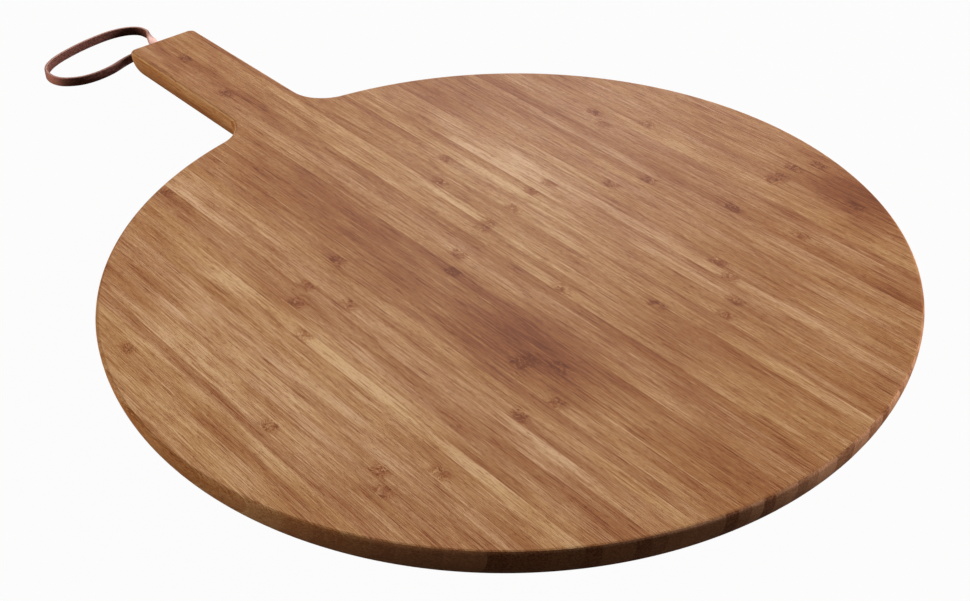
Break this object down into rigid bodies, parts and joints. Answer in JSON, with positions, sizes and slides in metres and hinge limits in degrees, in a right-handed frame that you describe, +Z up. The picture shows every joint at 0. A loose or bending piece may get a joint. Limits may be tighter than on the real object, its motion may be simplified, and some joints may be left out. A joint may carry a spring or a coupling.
{
  "type": "pizza serving board",
  "caption": "Round bamboo serving board glued up from narrow strips, with a straight handle, an undercut edge and a leather loop at the handle's end to hang it by.",
  "frame": {"origin": "centre of the round disc, on the flat bottom face", "axes": "+Y along the handle towards its end, +Z up out of the serving face, +X to the right seen from above with the handle pointing away"},
  "size_m": [0.36, 0.5365, 0.018],
  "materials": {
    "bamboo": "oiled caramel bamboo, semi-matt",
    "leather": "dark brown leather lace"
  },
  "bodies": {
    "board": {"left_strip_01": "bamboo", "left_strip_02": "bamboo", "left_strip_03": "bamboo", "left_strip_04": "bamboo", "left_strip_05": "bamboo", "left_strip_06": "bamboo", "left_strip_07": "bamboo", "left_strip_08": "bamboo", "left_strip_09": "bamboo", "left_strip_10": "bamboo", "left_strip_11": "bamboo", "left_strip_12": "bamboo", "left_strip_13": "bamboo", "left_strip_14": "bamboo", "left_strip_15": "bamboo", "left_strip_16": "bamboo", "left_strip_17": "bamboo", "left_strip_18": "bamboo", "left_strip_19": "bamboo", "left_strip_20": "bamboo", "left_strip_21": "bamboo", "left_strip_22": "bamboo", "left_strip_23": "bamboo", "left_strip_24": "bamboo", "left_strip_25": "bamboo", "right_strip_01": "bamboo", "right_strip_02": "bamboo", "right_strip_03": "bamboo", "right_strip_04": "bamboo", "right_strip_05": "bamboo", "right_strip_06": "bamboo", "right_strip_07": "bamboo", "right_strip_08": "bamboo", "right_strip_09": "bamboo", "right_strip_10": "bamboo", "right_strip_11": "bamboo", "right_strip_12": "bamboo", "right_strip_13": "bamboo", "right_strip_14": "bamboo", "right_strip_15": "bamboo", "right_strip_16": "bamboo", "right_strip_17": "bamboo", "right_strip_18": "bamboo", "right_strip_19": "bamboo", "right_strip_20": "bamboo", "right_strip_21": "bamboo", "right_strip_22": "bamboo", "right_strip_23": "bamboo", "right_strip_24": "bamboo", "right_strip_25": "bamboo", "edge_pair_26": "bamboo", "edge_pair_27": "bamboo", "edge_pair_28": "bamboo", "edge_pair_29": "bamboo", "edge_pair_30": "bamboo", "edge_pair_31": "bamboo", "edge_pair_32": "bamboo", "edge_pair_33": "bamboo", "lace_ends": "leather"},
    "lace": {"lace_loop": "leather"}
  },
  "joints": [
    {"name": "lace_swing", "type": "hinge", "parent": "board", "child": "lace", "pos_m": [0, 0.3033, 0.009], "axis": [1, 0, 0], "range_deg": [-90, 90]}
  ]
}
